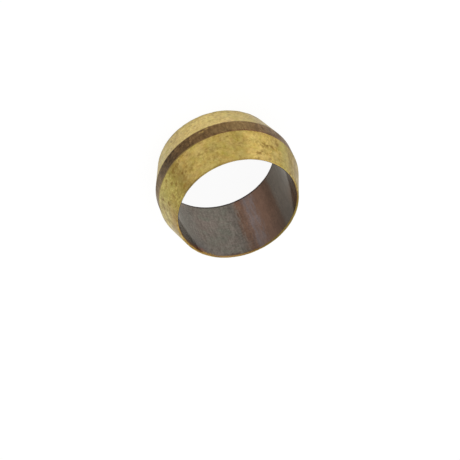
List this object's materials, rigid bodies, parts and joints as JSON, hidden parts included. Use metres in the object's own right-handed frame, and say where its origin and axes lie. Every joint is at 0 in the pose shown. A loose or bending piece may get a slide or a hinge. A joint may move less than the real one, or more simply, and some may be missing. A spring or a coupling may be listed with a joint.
{
  "type": "compression olive",
  "caption": "Brass compression ring with a plain bore, a narrow land round its middle and a straight taper to each thin end; it seals a pipe in a compression fitting.",
  "frame": {"origin": "middle of the lower end face, on the bore's axis", "axes": "+Z along the bore, up from the end that the ring stands on; the ring is the same all round, so +X and +Y only complete the frame"},
  "size_m": [0.012, 0.012, 0.0067],
  "materials": {
    "brass": "tapers turned bright and lightly tarnished; land and bore left dull brown and grey"
  },
  "bodies": {
    "root": {"olive_ring": "brass"}
  },
  "joints": []
}
